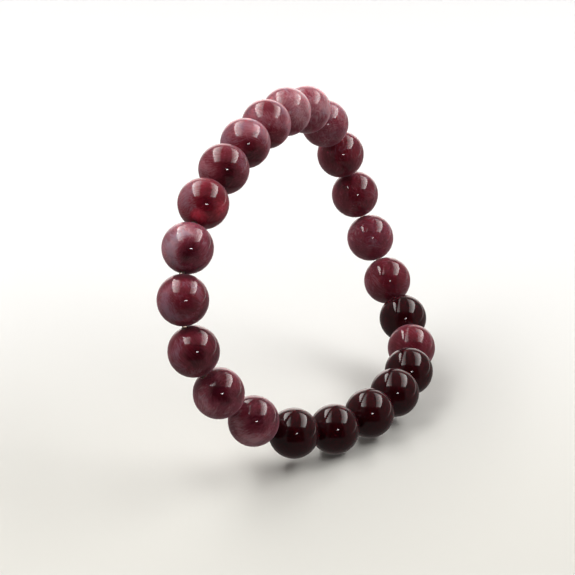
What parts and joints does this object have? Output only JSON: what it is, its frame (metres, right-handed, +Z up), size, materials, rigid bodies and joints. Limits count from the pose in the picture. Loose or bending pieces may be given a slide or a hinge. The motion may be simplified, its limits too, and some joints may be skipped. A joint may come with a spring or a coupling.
{
  "type": "gemstone bead bracelet",
  "caption": "Stretch bracelet of round polished plum gemstone beads drilled for a clear elastic, held in the slanted oval form that it takes on a wrist.",
  "frame": {"origin": "the middle of the wrist, at the centre of the loop that the elastic follows", "axes": "+X runs along the arm, square to the wrist's section; +Y runs through the wrist from the near side to the far side, the loop's longest way; +Z is up"},
  "size_m": [0.0448, 0.0659, 0.0521],
  "materials": {
    "stone_mauve": "polished",
    "stone_plum": "polished",
    "stone_ruby": "polished",
    "stone_wine": "polished",
    "elastic": "gloss"
  },
  "bodies": {
    "root": {"bead_01": "stone_mauve", "bead_02": "stone_mauve", "bead_03": "stone_mauve", "bead_04": "stone_plum", "bead_05": "stone_plum", "bead_06": "stone_plum", "bead_07": "stone_ruby", "bead_08": "stone_mauve", "bead_09": "stone_plum", "bead_10": "stone_plum", "bead_11": "stone_mauve", "bead_12": "stone_mauve", "bead_13": "stone_wine", "bead_14": "stone_wine", "bead_15": "stone_wine", "bead_16": "stone_wine", "bead_17": "stone_wine", "bead_18": "stone_plum", "bead_19": "stone_wine", "bead_20": "stone_plum", "bead_21": "stone_mauve", "bead_22": "stone_plum", "bead_23": "stone_plum", "elastic_thread": "elastic"}
  },
  "joints": []
}
